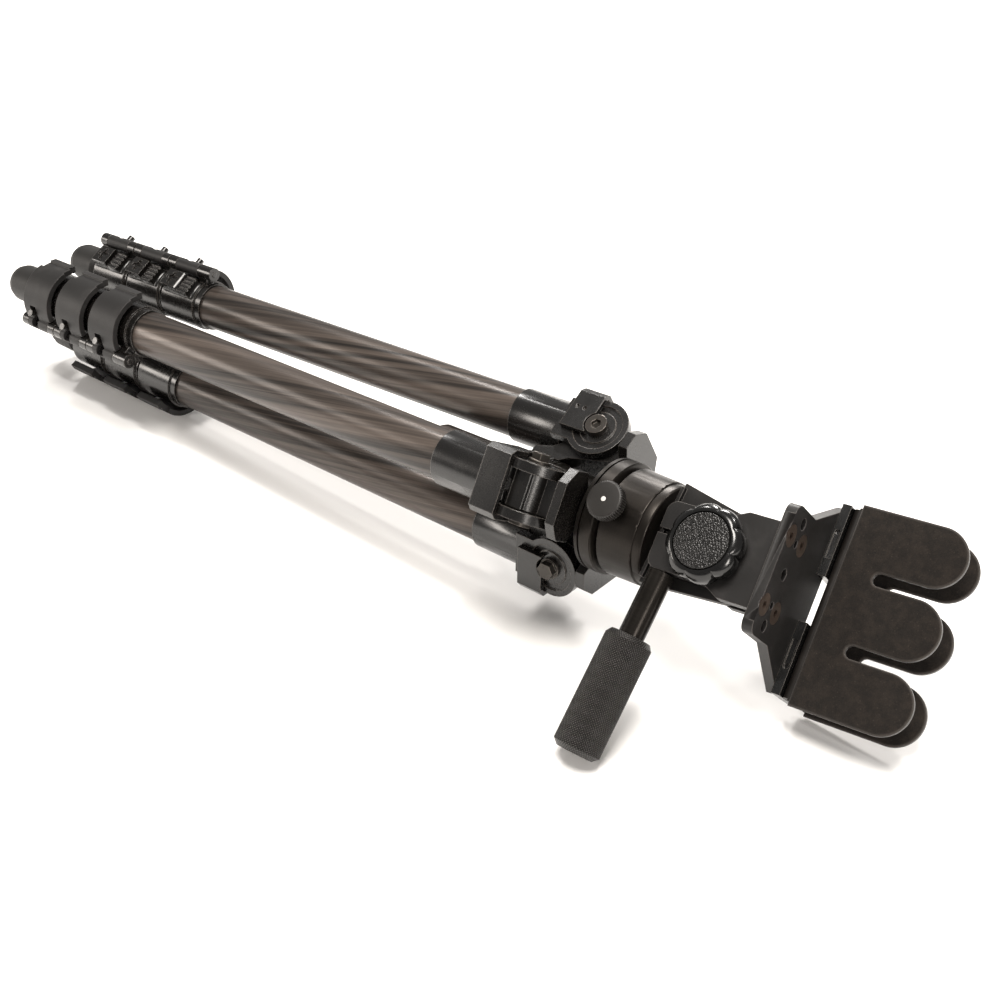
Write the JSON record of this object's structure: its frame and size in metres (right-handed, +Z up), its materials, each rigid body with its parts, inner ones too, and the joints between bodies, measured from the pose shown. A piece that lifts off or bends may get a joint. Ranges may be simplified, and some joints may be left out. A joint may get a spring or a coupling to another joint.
{
  "type": "tripod with cradle head",
  "caption": "Folded carbon tripod with flip-lock levers, a pan and tilt head with a side handle, and a felt-lined, fingered U cradle.",
  "frame": {"origin": "middle of the ground rectangle under the folded tripod as it lies", "axes": "+X along the tripod towards its head, +Z up, the handle on the -Y side"},
  "size_m": [0.6915, 0.1988, 0.1222],
  "materials": {
    "carbon": "clear-coated carbon weave, satin",
    "cast_black": "powder-coated casting, dull black",
    "anodised_black": "black anodised, satin",
    "plate_grey": "bead-blasted, dark anodised, matte",
    "collar_plastic": "moulded, matte",
    "lever_plastic": "moulded, matte charcoal",
    "rubber": "dull black rubber",
    "screw": "black oxide",
    "polished": "polished rod",
    "knob_gloss": "glossy black",
    "knob_pad": "pebbled, glittering grey",
    "grip": "fine diamond knurl, dark anodised",
    "block": "black",
    "sheet": "satin",
    "felt": "wool felt, dark brown"
  },
  "bodies": {
    "spider": {"spider": "cast_black", "column_collar": "collar_plastic", "pivot_bolts": "screw"},
    "leg_a_upper": {"leg_a_yoke": "cast_black", "leg_a_tube1": "carbon", "leg_a_clamp1": "collar_plastic"},
    "leg_a_catch_body": {"leg_a_catch": "lever_plastic"},
    "leg_a_second": {"leg_a_tube2": "carbon", "leg_a_clamp2": "collar_plastic"},
    "leg_a_third": {"leg_a_tube3": "carbon", "leg_a_clamp3": "collar_plastic"},
    "leg_a_lower": {"leg_a_tube4": "carbon", "leg_a_foot": "rubber"},
    "leg_a_lever1_body": {"leg_a_lever1": "lever_plastic"},
    "leg_a_lever2_body": {"leg_a_lever2": "lever_plastic"},
    "leg_a_lever3_body": {"leg_a_lever3": "lever_plastic"},
    "leg_b_upper": {"leg_b_yoke": "cast_black", "leg_b_tube1": "carbon", "leg_b_clamp1": "collar_plastic"},
    "leg_b_catch_body": {"leg_b_catch": "lever_plastic"},
    "leg_b_second": {"leg_b_tube2": "carbon", "leg_b_clamp2": "collar_plastic"},
    "leg_b_third": {"leg_b_tube3": "carbon", "leg_b_clamp3": "collar_plastic"},
    "leg_b_lower": {"leg_b_tube4": "carbon", "leg_b_foot": "rubber"},
    "leg_b_lever1_body": {"leg_b_lever1": "lever_plastic"},
    "leg_b_lever2_body": {"leg_b_lever2": "lever_plastic"},
    "leg_b_lever3_body": {"leg_b_lever3": "lever_plastic"},
    "leg_c_upper": {"leg_c_yoke": "cast_black", "leg_c_tube1": "carbon", "leg_c_clamp1": "collar_plastic"},
    "leg_c_catch_body": {"leg_c_catch": "lever_plastic"},
    "leg_c_second": {"leg_c_tube2": "carbon", "leg_c_clamp2": "collar_plastic"},
    "leg_c_third": {"leg_c_tube3": "carbon", "leg_c_clamp3": "collar_plastic"},
    "leg_c_lower": {"leg_c_tube4": "carbon", "leg_c_foot": "rubber"},
    "leg_c_lever1_body": {"leg_c_lever1": "lever_plastic"},
    "leg_c_lever2_body": {"leg_c_lever2": "lever_plastic"},
    "leg_c_lever3_body": {"leg_c_lever3": "lever_plastic"},
    "column": {"column_tube": "carbon", "column_platform": "anodised_black", "pan_base": "anodised_black"},
    "pan": {"pan_body": "anodised_black", "tilt_tongue": "plate_grey", "tilt_axle": "screw"},
    "pan_lock": {"pan_lock_knob": "anodised_black"},
    "tilt": {"tilt_arm_near": "plate_grey", "tilt_arm_far": "plate_grey", "rest_plate": "plate_grey", "rest_screws": "screw", "cradle_blocks": "block", "cradle": "sheet", "cradle_felt": "felt"},
    "tilt_lock": {"tilt_knob": "knob_gloss", "tilt_knob_pad": "knob_pad"},
    "handle": {"handle_rod": "polished", "handle_grip": "grip"}
  },
  "joints": [
    {"name": "leg_a_fold", "type": "hinge", "parent": "spider", "child": "leg_a_upper", "pos_m": [0.12794, -0.0241, 0.09558], "axis": [-0.0403, 0.5216, 0.8522], "range_deg": [0, 78]},
    {"name": "leg_a_catch_slide", "type": "slide", "parent": "leg_a_upper", "child": "leg_a_catch_body", "axis": [-0.9982, 0.0169, -0.0576], "range_m": [0, 0.008]},
    {"name": "leg_a_extend1", "type": "slide", "parent": "leg_a_upper", "child": "leg_a_second", "axis": [-0.9982, 0.0169, -0.0576], "range_m": [0, 0.24]},
    {"name": "leg_a_extend2", "type": "slide", "parent": "leg_a_second", "child": "leg_a_third", "axis": [-0.9982, 0.0169, -0.0576], "range_m": [0, 0.24]},
    {"name": "leg_a_extend3", "type": "slide", "parent": "leg_a_third", "child": "leg_a_lower", "axis": [-0.9982, 0.0169, -0.0576], "range_m": [0, 0.24]},
    {"name": "leg_a_lever1_flip", "type": "hinge", "parent": "leg_a_upper", "child": "leg_a_lever1_body", "pos_m": [-0.21913, -0.03921, 0.06411], "axis": [0.9982, -0.0169, 0.0576], "range_deg": [0, 100]},
    {"name": "leg_a_lever2_flip", "type": "hinge", "parent": "leg_a_second", "child": "leg_a_lever2_body", "pos_m": [-0.25606, -0.03858, 0.06198], "axis": [0.9982, -0.0169, 0.0576], "range_deg": [0, 100]},
    {"name": "leg_a_lever3_flip", "type": "hinge", "parent": "leg_a_third", "child": "leg_a_lever3_body", "pos_m": [-0.293, -0.03795, 0.05985], "axis": [0.9982, -0.0169, 0.0576], "range_deg": [0, 100]},
    {"name": "leg_b_fold", "type": "hinge", "parent": "spider", "child": "leg_b_upper", "pos_m": [0.12802, 0.04342, 0.09388], "axis": [0.0415, 0.4781, -0.8773], "range_deg": [0, 78]},
    {"name": "leg_b_catch_slide", "type": "slide", "parent": "leg_b_upper", "child": "leg_b_catch_body", "axis": [-0.9982, -0.0174, -0.0567], "range_m": [0, 0.008]},
    {"name": "leg_b_extend1", "type": "slide", "parent": "leg_b_upper", "child": "leg_b_second", "axis": [-0.9982, -0.0174, -0.0567], "range_m": [0, 0.24]},
    {"name": "leg_b_extend2", "type": "slide", "parent": "leg_b_second", "child": "leg_b_third", "axis": [-0.9982, -0.0174, -0.0567], "range_m": [0, 0.24]},
    {"name": "leg_b_extend3", "type": "slide", "parent": "leg_b_third", "child": "leg_b_lower", "axis": [-0.9982, -0.0174, -0.0567], "range_m": [0, 0.24]},
    {"name": "leg_b_lever1_flip", "type": "hinge", "parent": "leg_b_upper", "child": "leg_b_lever1_body", "pos_m": [-0.22073, 0.03796, 0.09799], "axis": [0.9982, 0.0174, 0.0567], "range_deg": [0, 100]},
    {"name": "leg_b_lever2_flip", "type": "hinge", "parent": "leg_b_second", "child": "leg_b_lever2_body", "pos_m": [-0.25767, 0.03732, 0.09589], "axis": [0.9982, 0.0174, 0.0567], "range_deg": [0, 100]},
    {"name": "leg_b_lever3_flip", "type": "hinge", "parent": "leg_b_third", "child": "leg_b_lever3_body", "pos_m": [-0.2946, 0.03667, 0.09379], "axis": [0.9982, 0.0174, 0.0567], "range_deg": [0, 100]},
    {"name": "leg_c_fold", "type": "hinge", "parent": "spider", "child": "leg_c_upper", "pos_m": [0.13074, 0.00819, 0.03632], "axis": [-0.0012, -0.9997, 0.0251], "range_deg": [0, 78]},
    {"name": "leg_c_catch_slide", "type": "slide", "parent": "leg_c_upper", "child": "leg_c_catch_body", "axis": [-0.9996, 0.0005, -0.0275], "range_m": [0, 0.008]},
    {"name": "leg_c_extend1", "type": "slide", "parent": "leg_c_upper", "child": "leg_c_second", "axis": [-0.9996, 0.0005, -0.0275], "range_m": [0, 0.24]},
    {"name": "leg_c_extend2", "type": "slide", "parent": "leg_c_second", "child": "leg_c_third", "axis": [-0.9996, 0.0005, -0.0275], "range_m": [0, 0.24]},
    {"name": "leg_c_extend3", "type": "slide", "parent": "leg_c_third", "child": "leg_c_lower", "axis": [-0.9996, 0.0005, -0.0275], "range_m": [0, 0.24]},
    {"name": "leg_c_lever1_flip", "type": "hinge", "parent": "leg_c_upper", "child": "leg_c_lever1_body", "pos_m": [-0.21677, 0.02875, 0.0143], "axis": [0.9996, -0.0005, 0.0275], "range_deg": [0, 100]},
    {"name": "leg_c_lever2_flip", "type": "hinge", "parent": "leg_c_second", "child": "leg_c_lever2_body", "pos_m": [-0.25376, 0.02877, 0.01328], "axis": [0.9996, -0.0005, 0.0275], "range_deg": [0, 100]},
    {"name": "leg_c_lever3_flip", "type": "hinge", "parent": "leg_c_third", "child": "leg_c_lever3_body", "pos_m": [-0.29074, 0.02879, 0.01226], "axis": [0.9996, -0.0005, 0.0275], "range_deg": [0, 100]},
    {"name": "column_slide", "type": "slide", "parent": "spider", "child": "column", "axis": [0.9989, 0, 0.0473], "range_m": [0, 0.05]},
    {"name": "pan", "type": "hinge", "parent": "column", "child": "pan", "pos_m": [0.18384, 0.00917, 0.07786], "axis": [0.9989, 0, 0.0473], "continuous": true},
    {"name": "pan_lock_turn", "type": "hinge", "parent": "pan", "child": "pan_lock", "pos_m": [0.17278, -0.01633, 0.10418], "axis": [-0.0343, -0.6891, 0.7238], "range_deg": [-180, 180]},
    {"name": "tilt", "type": "hinge", "parent": "pan", "child": "tilt", "pos_m": [0.23046, 0.00262, 0.08696], "axis": [-0.0343, -0.6891, 0.7238], "range_deg": [-10, 85]},
    {"name": "tilt_lock_turn", "type": "hinge", "parent": "pan", "child": "tilt_lock", "pos_m": [0.22983, -0.01013, 0.10035], "axis": [-0.0343, -0.6891, 0.7238], "range_deg": [-180, 180]},
    {"name": "handle_turn", "type": "hinge", "parent": "tilt", "child": "handle", "pos_m": [0.21228, -0.04687, 0.05072], "axis": [-0.0326, 0.7247, 0.6883], "range_deg": [-180, 180]}
  ]
}
